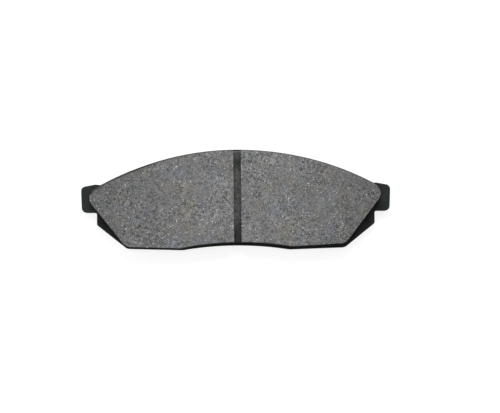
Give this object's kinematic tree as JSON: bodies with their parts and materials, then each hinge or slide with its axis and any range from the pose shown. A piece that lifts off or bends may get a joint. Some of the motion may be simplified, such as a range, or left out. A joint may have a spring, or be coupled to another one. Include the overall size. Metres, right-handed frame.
{
  "type": "disc brake pad",
  "caption": "Long curved disc brake pad: slotted friction lining bonded to a steel backing plate that has an ear at each end and a noise shim on its back.",
  "frame": {"origin": "middle of the pad's bounding box in X and Y, at the back of the noise shim (Z = 0)", "axes": "+X along the pad, +Y towards its convex outer edge, +Z out of the friction face"},
  "size_m": [0.1458, 0.0473, 0.0168],
  "materials": {
    "backing_steel": "satin black powder coat over pressed steel",
    "bond": "cured black phenolic adhesive film",
    "underlayer": "moulded fibrous composite, dark and matt",
    "friction_lining": "ground friction composite with fine grain and specks, matt",
    "shim_adhesive": "clear pressure adhesive, seen at its edge only",
    "shim_steel": "rolled sheet, cut edge bare",
    "shim_rubber": "thin nitrile coating, dull"
  },
  "bodies": {
    "root": {"backing_plate": "backing_steel", "bond_film": "bond", "underlayer": "underlayer", "lining_left": "friction_lining", "lining_right": "friction_lining", "shim_adhesive": "shim_adhesive", "shim_core": "shim_steel", "shim_rubber": "shim_rubber"}
  },
  "joints": []
}
